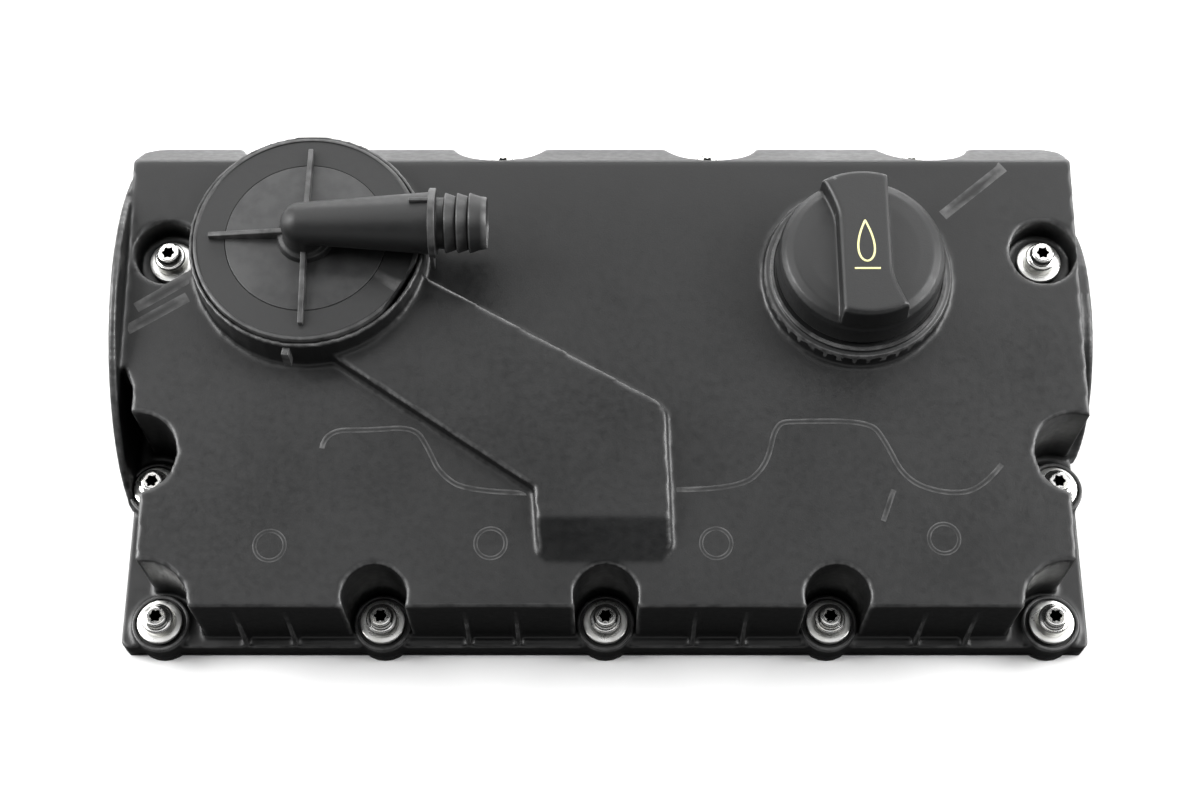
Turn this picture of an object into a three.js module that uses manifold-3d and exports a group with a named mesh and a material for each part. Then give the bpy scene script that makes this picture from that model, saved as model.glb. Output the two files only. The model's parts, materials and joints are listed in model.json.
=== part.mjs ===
// Cylinder head cover of a four-cylinder engine, in millimetres.
// +X runs along the engine, +Y to the rear, +Z up. The pieces are laid out from the middle of the cover's
// length, and the whole is then moved so that the origin is the middle of the seated footprint.
import * as THREE from 'three';
import { mergeVertices } from 'three/addons/utils/BufferGeometryUtils.js';
import Module from 'manifold-3d';

const wasm = await Module();
wasm.setup();

// ---- driving dimensions ----
const BOLT_PITCH = 96;
const FRONT_ROW_Y = -112;
const REAR_ROW_Y = 109;
const WALL = 3;
const GAP = 0.3;

const GASKET_TOP = 2;
const FLANGE_BOTTOM = GASKET_TOP + GAP;
const FLANGE_TOP = 11.6;
const BOSS_TOP = 13.7;
const BOSS_RADIUS = 12.6;
const FLANGE_FRONT = -122;
const FLANGE_REAR = 118.6;
const REAR_BOSS_RADIUS = FLANGE_REAR - REAR_ROW_Y;
const FOOTPRINT_MIDDLE_Y = (FRONT_ROW_Y - BOSS_RADIUS + FLANGE_REAR) / 2;
const FLANGE_LEFT = -209;
const FLANGE_RIGHT = 208.5;
const FLANGE_FRONT_CORNER = 2;
const FLANGE_REAR_CORNER = 6;

const BODY_FRONT = -117;
const ROOF_FRONT_Z = 54.5;
const ROOF_BACK_Y = 83;
const ROOF_BACK_Z = 73;
const REAR_WALL_Y = 100;
const REAR_WALL_Z = 54;
const BODY_HALF_FRONT = 196;
const BODY_RIGHT = 206;
const BODY_LEFT_MIDDLE = -202;
const PLATE_START_Y = -8;
const PLATE_SLANT_Y = -22;
const REAR_CORNER_RADIUS = 9;

const FRONT_RECESS_RADIUS = 13.5;
const CORNER_RECESS = { x: 192, y: -116, radius: 19 };
const SIDE_NOTCH = { x: 199, y: -50.5, radius: 17.5 };
const REAR_SCALLOP = { y: 105.5, radius: 21 };
const WELL = { x: 191, y: 40, radius: 14.5, floor: 55.7, depth: 4, column: 13.5, web: 8, webReach: 20.3 };

const LEFT_ARCH = { y: 28, z: -5.5, radius: 86, footHalf: 85 };
const RIGHT_ARCH = { y: 23, z: 5, radius: 57 };
const LEFT_PLATE = { outer: -212, inner: -208.5 };
const RIGHT_RIM = { inner: 203, outer: 212 };

const DUCT_HEIGHT = 7;
const DUCT_FOOT = 40;
const DUCT_END_Y = 40;
const DUCT_SLOPE_TOP_Y = -81;
const DUCT_SLOPE_FOOT_Y = -98;

const CUP = {
  x: -128.4,
  y: 39,
  outer: 51,
  bore: 47,
  ledge: 44,
  root: 60,
  under: 53,
  floor: 56,
  ledgeZ: 71.6,
  rim: 79,
};
const CUP_LIP = { inner: 49.1, top: 83 };
const BAFFLE = { x0: -72, x1: 60, y0: -70, y1: 60, z0: 44, z1: 46, postRadius: 4, postInset: 8 };
const DRAIN_SLOTS = { xs: [-55, -25, 5, 35], length: 14, y0: -50, y1: -47 };
const FRONT_RIB = { offset: 10.6, half: 0.8, drop: 5, lean: 0.6 };
const PORT = { bore: 6, ring: 9, top: 61 };
const LID = { radius: 48.7, bottom: 79.3, top: 85, edge: 1.2, discRadius: 33, discTop: 86.2 };
const LID_SKIRT = { radius: 46.5, foot: 74.2 };
const LID_RIB = { start: 8, reach: 41.8, width: 2.2, low: 87.4, high: 91.5, angles: [90, 180, 270] };
const PIPE = { y: 37.5, z: 100, dome: 8.7, collar: 13.8, collarX: -73, endX: -50, bore: 7, rise: 6.4 };
const BARB = { count: 3, first: 7, pitch: 4.7, crest: 12.7, groove: 10.7, slope: 11.8 };
const HUB = { radius: 12, top: 92 };
const DIAPHRAGM = { radius: 46.5, bottom: CUP.ledgeZ + GAP, top: CUP.ledgeZ + 2.2 };
const DIAPHRAGM_PLATE = { radius: 20, thickness: 1.6, top: DIAPHRAGM.bottom - GAP };
const SPRING = { radius: 13, wire: 0.7, turns: 4, bottom: CUP.floor + 1.1 };

const FILLER = { x: 109, y: 28, root: 62, under: 50, ring: 40.5, ringTop: 73.4, bore: 22 };
const NECK = { radius: 28, top: 76 };
const LEDGE = { bore: 19.3, bottom: 62, top: 65, gate: 15, gateReach: 21.5 };
const CAP = { radius: 35.6, skirt: 77.2, top: 95, gripTop: 103, underside: 90, skirtWall: 3 };
const GRIP = { half: 11.2, flare: 18, bend: 12, ease: 2, easeY: 20, edge: 4 };
const LUG = { radius: 21.4, width: 12, bottom: 57.5, top: 61.5 };
const CORE = { radius: 18.6, wall: 3, disc: 3, deckTop: 86 };
const SEAL = { inner: 19.2, outer: 26, bottom: NECK.top + GAP, top: NECK.top + 3 };

const BOLT = { shank: 3, flange: 6.6, head: 4.8, flangeHeight: 1.4, headHeight: 5.2, lift: 3.6 };
const BOLT_RECESS = { radius: 2.8, depth: 3 };
const WASHER = { outer: 9.65, inner: 3.5, thickness: 1.8 };
const GROMMET = { outer: 6.9, inner: 3.6, head: 8.6, headHeight: 1.3, length: 9 };
const GROMMET_BORE = 7.2;
const FASTENER_SIDES = 12;
const BUSH_SIDES = 8;
const ROUND_SIDES = 40;
const RECESS_SIDES = 24;
const PIPE_SIDES = 20;
const BORE_SIDES = 16;

// Limits past the ends of the cover, for cuts that pass right through, and the overlap of joined solids.
const ABOVE = 95;
const BELOW = -5;
const REACH = 215;
const BITE = 1;

const PLASTIC = { color: 0x1b1c1e, roughness: 0.55, metalness: 0 };
const CAP_PLASTIC = { color: 0x161719, roughness: 0.6, metalness: 0 };
const STEEL = { color: 0xc9ccce, roughness: 0.25, metalness: 1 };
const RUBBER = { color: 0x101010, roughness: 0.85, metalness: 0 };
const SPRING_STEEL = { color: 0x9a9da0, roughness: 0.35, metalness: 1 };

// ---- solids ----
function solidOf(geometry) {
  const bare = geometry.clone();
  bare.deleteAttribute('normal');
  bare.deleteAttribute('uv');
  const merged = mergeVertices(bare, 1e-4);
  const vertProperties = new Float32Array(merged.attributes.position.array);
  const triVerts = new Uint32Array(merged.index.array);
  return new wasm.Manifold(new wasm.Mesh({ numProp: 3, vertProperties, triVerts }));
}

function geometryOf(solid) {
  const { vertProperties, triVerts } = solid.getMesh();
  const geometry = new THREE.BufferGeometry();
  geometry.setAttribute('position', new THREE.BufferAttribute(new Float32Array(vertProperties), 3));
  geometry.setIndex(new THREE.BufferAttribute(new Uint32Array(triVerts), 1));
  geometry.computeVertexNormals();
  return geometry;
}

function join(solids) {
  return solids.reduce((whole, next) => whole.add(next));
}

function polygon(points) {
  return new THREE.Shape(points.map(([x, y]) => new THREE.Vector2(x, y)));
}

// A plan outline raised from z0 to z1.
function raised(shape, z0, z1, curveSegments = 12) {
  const geometry = new THREE.ExtrudeGeometry(shape, { depth: z1 - z0, bevelEnabled: false, curveSegments });
  return solidOf(geometry.translate(0, 0, z0));
}

// A side profile, drawn with Y across and Z up, carried along X.
function alongX(points, x0, x1) {
  const geometry = new THREE.ExtrudeGeometry(polygon(points), { depth: x1 - x0, bevelEnabled: false });
  const turn = new THREE.Matrix4().makeBasis(
    new THREE.Vector3(0, 1, 0),
    new THREE.Vector3(0, 0, 1),
    new THREE.Vector3(1, 0, 0),
  );
  return solidOf(geometry.applyMatrix4(turn).translate(x0, 0, 0));
}

function post(x, y, radius, z0, z1, sides = ROUND_SIDES) {
  const geometry = new THREE.CylinderGeometry(radius, radius, z1 - z0, sides);
  geometry.rotateX(Math.PI / 2);
  return solidOf(geometry.translate(x, y, (z0 + z1) / 2));
}

function block(x0, x1, y0, y1, z0, z1) {
  const geometry = new THREE.BoxGeometry(x1 - x0, y1 - y0, z1 - z0);
  return solidOf(geometry.translate((x0 + x1) / 2, (y0 + y1) / 2, (z0 + z1) / 2));
}

// A profile of [radius, height] points, anticlockwise, turned about +Z.
function turned(profile, sides) {
  const points = profile.map(([radius, height]) => new THREE.Vector2(radius, height));
  return new THREE.LatheGeometry(points, sides).rotateX(Math.PI / 2);
}

function ring(inner, outer, z0, z1, sides) {
  return turned([[inner, z0], [outer, z0], [outer, z1], [inner, z1], [inner, z0]], sides);
}

// ---- places ----
const frontXs = [-2, -1, 0, 1, 2].map((step) => step * BOLT_PITCH);
const rearXs = [-1.5, -0.5, 0.5, 1.5].map((step) => step * BOLT_PITCH);
const lowSeats = [
  ...frontXs.map((x) => ({ x, y: FRONT_ROW_Y, boss: BOSS_RADIUS })),
  { x: -SIDE_NOTCH.x, y: SIDE_NOTCH.y, boss: BOSS_RADIUS },
  { x: SIDE_NOTCH.x, y: SIDE_NOTCH.y, boss: BOSS_RADIUS },
  ...rearXs.map((x) => ({ x, y: REAR_ROW_Y, boss: REAR_BOSS_RADIUS })),
].map((seat) => ({ ...seat, z: BOSS_TOP }));
const wellSeats = [-WELL.x, WELL.x].map((x) => ({ x, y: WELL.y, z: WELL.floor }));
const seats = [...lowSeats, ...wellSeats];

// ---- cover shell ----
function roofZ(y) {
  return ROOF_FRONT_Z + ((ROOF_BACK_Z - ROOF_FRONT_Z) * (y - BODY_FRONT)) / (ROOF_BACK_Y - BODY_FRONT);
}

// The rounded rear corner at a side wall, from right to left. side is 1 on the right.
function rearCorner(wallX, side, inset) {
  const radius = REAR_CORNER_RADIUS - inset;
  const centreX = wallX - side * radius;
  const centreY = REAR_WALL_Y - REAR_CORNER_RADIUS;
  const points = [];
  for (let step = 0; step <= 4; step += 1) {
    const angle = (Math.PI / 8) * (side > 0 ? step : 4 + step);
    points.push([centreX + radius * Math.cos(angle), centreY + radius * Math.sin(angle)]);
  }
  return points;
}

// The box of the cover between its side walls, shrunk by inset all round and cut off at the foot.
function bodySolid(inset, foot) {
  const plan = polygon([
    [-BODY_HALF_FRONT + inset, BODY_FRONT + inset],
    [BODY_HALF_FRONT - inset, BODY_FRONT + inset],
    [BODY_HALF_FRONT - inset, SIDE_NOTCH.y],
    [BODY_RIGHT - inset, SIDE_NOTCH.y],
    ...rearCorner(BODY_RIGHT - inset, 1, inset),
    ...rearCorner(FLANGE_LEFT + inset, -1, inset),
    [FLANGE_LEFT + inset, PLATE_START_Y],
    [BODY_LEFT_MIDDLE + inset, PLATE_SLANT_Y],
    [BODY_LEFT_MIDDLE + inset, SIDE_NOTCH.y],
    [-BODY_HALF_FRONT + inset, SIDE_NOTCH.y],
  ]);
  const profile = [
    [BODY_FRONT + inset, foot],
    [REAR_WALL_Y - inset, foot],
    [REAR_WALL_Y - inset, REAR_WALL_Z - inset / 2],
    [ROOF_BACK_Y - inset / 2, ROOF_BACK_Z - inset],
    [BODY_FRONT + inset, roofZ(BODY_FRONT + inset) - inset],
  ];
  return raised(plan, foot, ABOVE).intersect(alongX(profile, -REACH, REACH));
}

// The raised gas duct that runs from the breather to the middle of the front.
function ductSolid(inset, foot) {
  const plan = polygon([
    [-122 + inset, -7 + inset],
    [-30 + inset, -68 + inset],
    [-28 + inset, -94],
    [-23, DUCT_SLOPE_FOOT_Y],
    [22, DUCT_SLOPE_FOOT_Y],
    [27.4 - inset, -92],
    [25.6 - inset, -35 - inset / 2],
    [22 - inset / 2, -30.5 - inset],
    [-77 - inset, 25 - inset],
    [-100, DUCT_END_Y],
  ]);
  const lift = DUCT_HEIGHT - inset;
  const profile = [
    [DUCT_SLOPE_FOOT_Y + inset, foot],
    [DUCT_END_Y, foot],
    [DUCT_END_Y, roofZ(DUCT_END_Y) + lift],
    [DUCT_SLOPE_TOP_Y + inset, roofZ(DUCT_SLOPE_TOP_Y) + lift],
    [DUCT_SLOPE_FOOT_Y + inset, roofZ(DUCT_SLOPE_FOOT_Y) - inset],
  ];
  return raised(plan, foot, ABOVE).intersect(alongX(profile, -REACH, REACH));
}

// A plate with a round top that stands on the flange.
// Its sides are upright below a centre that is above the flange.
function archPlate(arch, x0, x1) {
  const steps = 24;
  const foot = Math.asin(Math.max(0, (FLANGE_BOTTOM - arch.z) / arch.radius));
  const points = [];
  for (let step = 0; step <= steps; step += 1) {
    const angle = foot + ((Math.PI - 2 * foot) * step) / steps;
    points.push([arch.y + arch.radius * Math.cos(angle), arch.z + arch.radius * Math.sin(angle)]);
  }
  if (arch.z > FLANGE_BOTTOM) {
    points.push([arch.y - arch.radius, FLANGE_BOTTOM], [arch.y + arch.radius, FLANGE_BOTTOM]);
  }
  return alongX(points, x0, x1);
}

// Everything that stands clear of the bolts, so that heads and washers can be reached from above.
function boltClearances(extra) {
  const cuts = [];
  for (const x of frontXs) {
    const corner = Math.abs(x) > BOLT_PITCH * 1.5;
    const centreX = corner ? Math.sign(x) * CORNER_RECESS.x : x;
    const centreY = corner ? CORNER_RECESS.y : FRONT_ROW_Y;
    const radius = corner ? CORNER_RECESS.radius : FRONT_RECESS_RADIUS;
    cuts.push({ x: centreX, y: centreY, radius: radius + extra });
  }
  for (const side of [-1, 1]) {
    cuts.push({ x: side * SIDE_NOTCH.x, y: SIDE_NOTCH.y, radius: SIDE_NOTCH.radius + extra });
  }
  for (const x of rearXs) {
    cuts.push({ x, y: REAR_SCALLOP.y, radius: REAR_SCALLOP.radius + extra });
  }
  return cuts;
}

// The hollow under the roof, with the walls round bolts, wells and cup left standing.
function cavitySolid(foot) {
  let hollow = bodySolid(WALL, foot).add(ductSolid(WALL, DUCT_FOOT));
  for (const cut of boltClearances(WALL)) {
    hollow = hollow.subtract(post(cut.x, cut.y, cut.radius, foot - BITE, ABOVE, RECESS_SIDES));
  }
  for (const seat of wellSeats) {
    const outward = Math.sign(seat.x);
    const cupRadius = WELL.radius + WALL;
    hollow = hollow.subtract(post(seat.x, seat.y, WELL.column, foot - BITE, ABOVE, RECESS_SIDES));
    hollow = hollow.subtract(post(seat.x, seat.y, cupRadius, WELL.floor - WELL.depth, ABOVE, RECESS_SIDES));
    const left = Math.min(seat.x, seat.x + outward * WELL.webReach);
    const right = Math.max(seat.x, seat.x + outward * WELL.webReach);
    hollow = hollow.subtract(block(left, right, seat.y - WELL.web, seat.y + WELL.web, foot - BITE, ABOVE));
  }
  hollow = hollow.subtract(post(CUP.x, CUP.y, CUP.bore + WALL, CUP.under, ABOVE));
  return hollow.subtract(post(FILLER.x, FILLER.y, FILLER.bore + WALL, FILLER.under, ABOVE));
}

function flangeSolid(z0, z1, bossTop) {
  const plan = polygon([
    [FLANGE_LEFT + FLANGE_FRONT_CORNER, FLANGE_FRONT],
    [FLANGE_RIGHT - FLANGE_FRONT_CORNER, FLANGE_FRONT],
    [FLANGE_RIGHT, FLANGE_FRONT + FLANGE_FRONT_CORNER],
    [FLANGE_RIGHT, FLANGE_REAR - FLANGE_REAR_CORNER],
    [FLANGE_RIGHT - FLANGE_REAR_CORNER, FLANGE_REAR],
    [FLANGE_LEFT + FLANGE_REAR_CORNER, FLANGE_REAR],
    [FLANGE_LEFT, FLANGE_REAR - FLANGE_REAR_CORNER],
    [FLANGE_LEFT, FLANGE_FRONT + FLANGE_FRONT_CORNER],
  ]);
  const bosses = lowSeats.map((seat) => post(seat.x, seat.y, seat.boss, z0, bossTop, RECESS_SIDES));
  return join([raised(plan, z0, z1), ...bosses]);
}

function bafflePosts() {
  const posts = [];
  for (const x of [BAFFLE.x0 + BAFFLE.postInset, BAFFLE.x1 - BAFFLE.postInset]) {
    for (const y of [BAFFLE.y0 + BAFFLE.postInset, BAFFLE.y1 - BAFFLE.postInset]) {
      posts.push(post(x, y, BAFFLE.postRadius, BAFFLE.z1 + GAP, roofZ(y) - WALL / 2, FASTENER_SIDES));
    }
  }
  return join(posts);
}

// Thin gussets between the front wall and the flange, in pairs midway between bolts.
function frontRibs() {
  const profile = [
    [FLANGE_FRONT + BITE, FLANGE_TOP - BITE],
    [BODY_FRONT + BITE, FLANGE_TOP - BITE],
    [BODY_FRONT + BITE, ROOF_FRONT_Z - FRONT_RIB.drop],
    [BODY_FRONT - FRONT_RIB.lean, ROOF_FRONT_Z - FRONT_RIB.drop],
  ];
  const ribs = [];
  for (const x of rearXs) {
    for (const ribX of [x - FRONT_RIB.offset, x + FRONT_RIB.offset]) {
      ribs.push(alongX(profile, ribX - FRONT_RIB.half, ribX + FRONT_RIB.half));
    }
  }
  return join(ribs);
}

function coverShell() {
  let shell = join([
    bodySolid(0, FLANGE_BOTTOM),
    ductSolid(0, DUCT_FOOT),
    archPlate(RIGHT_ARCH, RIGHT_RIM.inner, RIGHT_RIM.outer),
    frontRibs(),
  ]);
  for (const cut of boltClearances(0)) {
    shell = shell.subtract(post(cut.x, cut.y, cut.radius, FLANGE_BOTTOM - BITE, ABOVE, RECESS_SIDES));
  }
  const footY = [LEFT_ARCH.y - LEFT_ARCH.footHalf, LEFT_ARCH.y + LEFT_ARCH.footHalf];
  const washerRoom = WASHER.outer + 2 * GAP;
  shell = shell.add(archPlate(LEFT_ARCH, LEFT_PLATE.outer, LEFT_PLATE.inner));
  shell = shell.subtract(post(-SIDE_NOTCH.x, SIDE_NOTCH.y, washerRoom, BOSS_TOP, ABOVE, RECESS_SIDES));
  shell = shell.add(flangeSolid(FLANGE_BOTTOM, FLANGE_TOP, BOSS_TOP));
  shell = shell.add(block(LEFT_PLATE.outer, FLANGE_LEFT + WALL, ...footY, FLANGE_BOTTOM, FLANGE_TOP));
  shell = shell.add(post(FILLER.x, FILLER.y, FILLER.ring, FILLER.root, FILLER.ringTop));
  shell = shell.add(post(FILLER.x, FILLER.y, NECK.radius, FILLER.root, NECK.top));
  for (const seat of wellSeats) {
    shell = shell.subtract(post(seat.x, seat.y, WELL.radius, WELL.floor, ABOVE, RECESS_SIDES));
  }
  shell = shell.add(post(CUP.x, CUP.y, CUP.outer, CUP.root, CUP_LIP.top));
  shell = shell.subtract(post(CUP.x, CUP.y, CUP_LIP.inner, CUP.rim, ABOVE));
  shell = shell.subtract(cavitySolid(BELOW)).add(bafflePosts());
  shell = shell.subtract(post(CUP.x, CUP.y, CUP.ledge, CUP.floor, ABOVE));
  shell = shell.subtract(post(CUP.x, CUP.y, CUP.bore, CUP.ledgeZ, ABOVE));
  shell = shell.add(post(CUP.x, CUP.y, PORT.ring, CUP.under, PORT.top, RECESS_SIDES));
  shell = shell.subtract(post(CUP.x, CUP.y, PORT.bore, DUCT_FOOT, ABOVE, RECESS_SIDES));
  shell = shell.subtract(fillerBore());
  for (const seat of seats) {
    shell = shell.subtract(post(seat.x, seat.y, GROMMET_BORE, BELOW, ABOVE, BORE_SIDES));
  }
  return shell;
}

// The filler's bore, with a ledge left for the cap's lugs and a gate through the ledge to lift them out.
function fillerBore() {
  const { x, y, bore } = FILLER;
  return join([
    post(x, y, bore, DUCT_FOOT, LEDGE.bottom),
    post(x, y, LEDGE.bore, DUCT_FOOT, ABOVE),
    post(x, y, bore, LEDGE.top, ABOVE),
    block(
      x - LEDGE.gate / 2,
      x + LEDGE.gate / 2,
      y - LEDGE.gateReach,
      y + LEDGE.gateReach,
      LEDGE.bottom - BITE,
      LEDGE.top + BITE,
    ),
  ]);
}

function coverGasket() {
  let gasket = flangeSolid(0, GASKET_TOP, GASKET_TOP).subtract(cavitySolid(BELOW));
  for (const seat of seats) {
    gasket = gasket.subtract(post(seat.x, seat.y, GROMMET_BORE, BELOW, FLANGE_TOP, BORE_SIDES));
  }
  return gasket;
}

// The oil separator plate hangs from posts under the roof, with slots for the oil to drain.
function bafflePlate() {
  const { x0, x1, y0, y1, z0, z1 } = BAFFLE;
  let plate = block(x0, x1, y0, y1, z0, z1);
  for (const x of DRAIN_SLOTS.xs) {
    const slotX = [x, x + DRAIN_SLOTS.length];
    plate = plate.subtract(block(...slotX, DRAIN_SLOTS.y0, DRAIN_SLOTS.y1, z0 - BITE, z1 + BITE));
  }
  return plate;
}

// ---- breather ----
function breatherLid() {
  const disc = turned([
    [0, LID.bottom],
    [LID.radius, LID.bottom],
    [LID.radius, LID.top - LID.edge],
    [LID.radius - LID.edge, LID.top],
    [LID.discRadius + LID.edge / 2, LID.top],
    [LID.discRadius, LID.discTop],
    [0, LID.discTop],
  ], ROUND_SIDES).translate(CUP.x, CUP.y, 0);
  let lid = solidOf(disc);
  const skirt = post(CUP.x, CUP.y, LID_SKIRT.radius, LID_SKIRT.foot, LID.bottom + BITE);
  lid = lid.add(skirt.subtract(post(CUP.x, CUP.y, LID_SKIRT.radius - WALL, CUP.ledgeZ, LID.bottom)));
  for (const angle of LID_RIB.angles) {
    const rib = lidRib().rotateZ(THREE.MathUtils.degToRad(angle));
    lid = lid.add(solidOf(rib.translate(CUP.x, CUP.y, 0)));
  }
  lid = lid.add(post(CUP.x, CUP.y, HUB.radius, LID.top - BITE, HUB.top, PIPE_SIDES));
  lid = lid.add(post(CUP.x, PIPE.y, PIPE.dome, LID.top, PIPE.z, PIPE_SIDES));
  lid = lid.add(outletPipe());
  lid = lid.subtract(post(CUP.x, CUP.y, PIPE.rise, CUP.ledgeZ, PIPE.z, BORE_SIDES));
  const boreLength = PIPE.endX - CUP.x + PIPE.bore;
  const bore = new THREE.CylinderGeometry(PIPE.bore, PIPE.bore, boreLength, BORE_SIDES);
  bore.rotateZ(Math.PI / 2).translate(CUP.x + boreLength / 2, PIPE.y, PIPE.z);
  return lid.subtract(solidOf(bore));
}

// A gusset along +X that is tallest at the hub and falls towards the rim.
function lidRib() {
  const side = polygon([
    [LID_RIB.start, LID.top - BITE],
    [LID_RIB.reach, LID.top - BITE],
    [LID_RIB.reach, LID_RIB.low],
    [LID_RIB.start, LID_RIB.high],
  ]);
  const geometry = new THREE.ExtrudeGeometry(side, { depth: LID_RIB.width, bevelEnabled: false });
  return geometry.rotateX(Math.PI / 2).translate(0, LID_RIB.width / 2, 0);
}

// Dome, swelling tube, collar and hose barbs, turned about the pipe axis.
function outletPipe() {
  const start = CUP.x - PIPE.dome;
  const collar = PIPE.collarX - start;
  const end = PIPE.endX - start;
  const profile = [[0, 0]];
  for (let step = 1; step <= 5; step += 1) {
    const angle = (Math.PI / 2) * (step / 5);
    profile.push([PIPE.dome * Math.sin(angle), PIPE.dome * (1 - Math.cos(angle))]);
  }
  profile.push([PIPE.collar - 0.6, collar - 2], [PIPE.collar, collar - 1], [PIPE.collar, collar + 2]);
  profile.push([BARB.groove, collar + 2.6]);
  for (let barb = 0; barb < BARB.count; barb += 1) {
    const at = collar + BARB.first + barb * BARB.pitch;
    profile.push([BARB.groove, at - 1], [BARB.crest, at - 0.6], [BARB.slope, at + 3.4]);
  }
  profile.push([BARB.groove, end - 1.8], [BARB.groove - 0.8, end], [0, end]);
  const geometry = turned(profile, PIPE_SIDES).rotateY(Math.PI / 2);
  return solidOf(geometry.translate(start, PIPE.y, PIPE.z));
}

function breatherDiaphragm() {
  return turned([
    [0, DIAPHRAGM.bottom],
    [DIAPHRAGM.radius, DIAPHRAGM.bottom],
    [DIAPHRAGM.radius, DIAPHRAGM.top],
    [0, DIAPHRAGM.top],
  ], ROUND_SIDES);
}

function diaphragmPlate() {
  const { radius, thickness, top } = DIAPHRAGM_PLATE;
  const foot = top - thickness;
  return turned([[0, foot], [radius, foot], [radius, top], [0, top]], ROUND_SIDES);
}

class Helix extends THREE.Curve {
  getPoint(t, target = new THREE.Vector3()) {
    const angle = t * SPRING.turns * Math.PI * 2;
    const springTop = DIAPHRAGM_PLATE.top - DIAPHRAGM_PLATE.thickness - SPRING.wire - 1.5 * GAP;
    const height = SPRING.bottom + (springTop - SPRING.bottom) * t;
    return target.set(SPRING.radius * Math.cos(angle), SPRING.radius * Math.sin(angle), height);
  }
}

function breatherSpring() {
  const section = new THREE.Shape().absarc(0, 0, SPRING.wire, 0, Math.PI * 2);
  const steps = SPRING.turns * 12;
  return new THREE.ExtrudeGeometry(section, { steps, curveSegments: 2, extrudePath: new Helix() });
}

// ---- oil filler cap ----
// The grip bar's sides are straight and flare at opposite corners, so half a turn leaves it the same.
function gripBar() {
  const reach = CAP.radius + BITE;
  const grip = new THREE.Shape();
  grip.moveTo(-GRIP.half, -reach);
  grip.lineTo(GRIP.flare, -reach);
  grip.quadraticCurveTo(GRIP.half + GRIP.ease, -GRIP.easeY, GRIP.half, -GRIP.bend);
  grip.lineTo(GRIP.half, reach);
  grip.lineTo(-GRIP.flare, reach);
  grip.quadraticCurveTo(-GRIP.half - GRIP.ease, GRIP.easeY, -GRIP.half, GRIP.bend);
  grip.lineTo(-GRIP.half, -reach);
  const outline = solidOf(turned([
    [0, CAP.underside + BITE],
    [CAP.radius, CAP.underside + BITE],
    [CAP.radius, CAP.gripTop - GRIP.edge],
    [CAP.radius - GRIP.edge, CAP.gripTop],
    [0, CAP.gripTop],
  ], ROUND_SIDES));
  return raised(grip, CAP.underside + BITE, CAP.gripTop, 5).intersect(outline);
}

function fillerCap() {
  const outer = solidOf(turned([
    [0, CAP.skirt],
    [CAP.radius, CAP.skirt],
    [CAP.radius, CAP.top - 4],
    [CAP.radius - 3, CAP.top - 1],
    [CAP.radius - 7, CAP.top],
    [0, CAP.top],
  ], ROUND_SIDES));
  const hollow = post(0, 0, CAP.radius - CAP.skirtWall, CAP.skirt - BITE, CAP.underside);
  return outer.add(gripBar()).subtract(hollow);
}

function fillerCapCore() {
  const top = CAP.underside - GAP;
  const core = post(0, 0, CORE.radius, LUG.bottom, top);
  const lugs = block(-LUG.width / 2, LUG.width / 2, -LUG.radius, LUG.radius, LUG.bottom, LUG.top);
  const round = post(0, 0, LUG.radius, LUG.bottom, LUG.top);
  const hollow = post(0, 0, CORE.radius - CORE.wall, LUG.bottom - BITE, CORE.deckTop);
  const disc = post(0, 0, CAP.radius - CAP.skirtWall - GAP, top - CORE.disc + GAP, top);
  return core.add(lugs.intersect(round)).add(disc).subtract(hollow);
}

// ---- fasteners ----
function boltGeometry(length) {
  const flangeTop = length + BOLT.flangeHeight;
  const headTop = length + BOLT.headHeight;
  return turned([
    [0, 0],
    [BOLT.shank, 0],
    [BOLT.shank, length],
    [BOLT.flange, length],
    [BOLT.flange, flangeTop],
    [BOLT.head, flangeTop],
    [BOLT.head, headTop],
    [BOLT_RECESS.radius, headTop],
    [BOLT_RECESS.radius, headTop - BOLT_RECESS.depth],
    [0, headTop - BOLT_RECESS.depth],
  ], FASTENER_SIDES);
}

function grommetGeometry(seatZ) {
  const foot = seatZ - GROMMET.length;
  const headBottom = seatZ + GAP;
  const headTop = headBottom + GROMMET.headHeight;
  return turned([
    [GROMMET.inner, foot],
    [GROMMET.outer, foot],
    [GROMMET.outer, headBottom],
    [GROMMET.head, headBottom],
    [GROMMET.head, headTop],
    [GROMMET.inner, headTop],
    [GROMMET.inner, foot],
  ], BUSH_SIDES);
}

function washerBottom(seatZ) {
  return seatZ + GROMMET.headHeight + 2 * GAP;
}

// ---- assembly ----
const cover = new THREE.Group();

function addPiece(name, geometry, finish, x = 0, y = 0, z = 0) {
  const mesh = new THREE.Mesh(geometry, new THREE.MeshStandardMaterial(finish));
  mesh.name = name;
  mesh.position.set(x, y, z);
  cover.add(mesh);
}

addPiece('cover_shell', geometryOf(coverShell()), PLASTIC);
addPiece('cover_gasket', geometryOf(coverGasket()), RUBBER);
addPiece('baffle_plate', geometryOf(bafflePlate()), PLASTIC);
addPiece('breather_lid', geometryOf(breatherLid()), PLASTIC);
addPiece('breather_diaphragm', breatherDiaphragm(), RUBBER, CUP.x, CUP.y);
addPiece('diaphragm_plate', diaphragmPlate(), PLASTIC, CUP.x, CUP.y);
addPiece('breather_spring', breatherSpring(), SPRING_STEEL, CUP.x, CUP.y);
addPiece('filler_cap', geometryOf(fillerCap()), CAP_PLASTIC, FILLER.x, FILLER.y);
addPiece('filler_cap_core', geometryOf(fillerCapCore()), CAP_PLASTIC, FILLER.x, FILLER.y);
const sealRing = ring(SEAL.inner, SEAL.outer, SEAL.bottom, SEAL.top, ROUND_SIDES);
addPiece('filler_seal_ring', sealRing, RUBBER, FILLER.x, FILLER.y);

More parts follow.
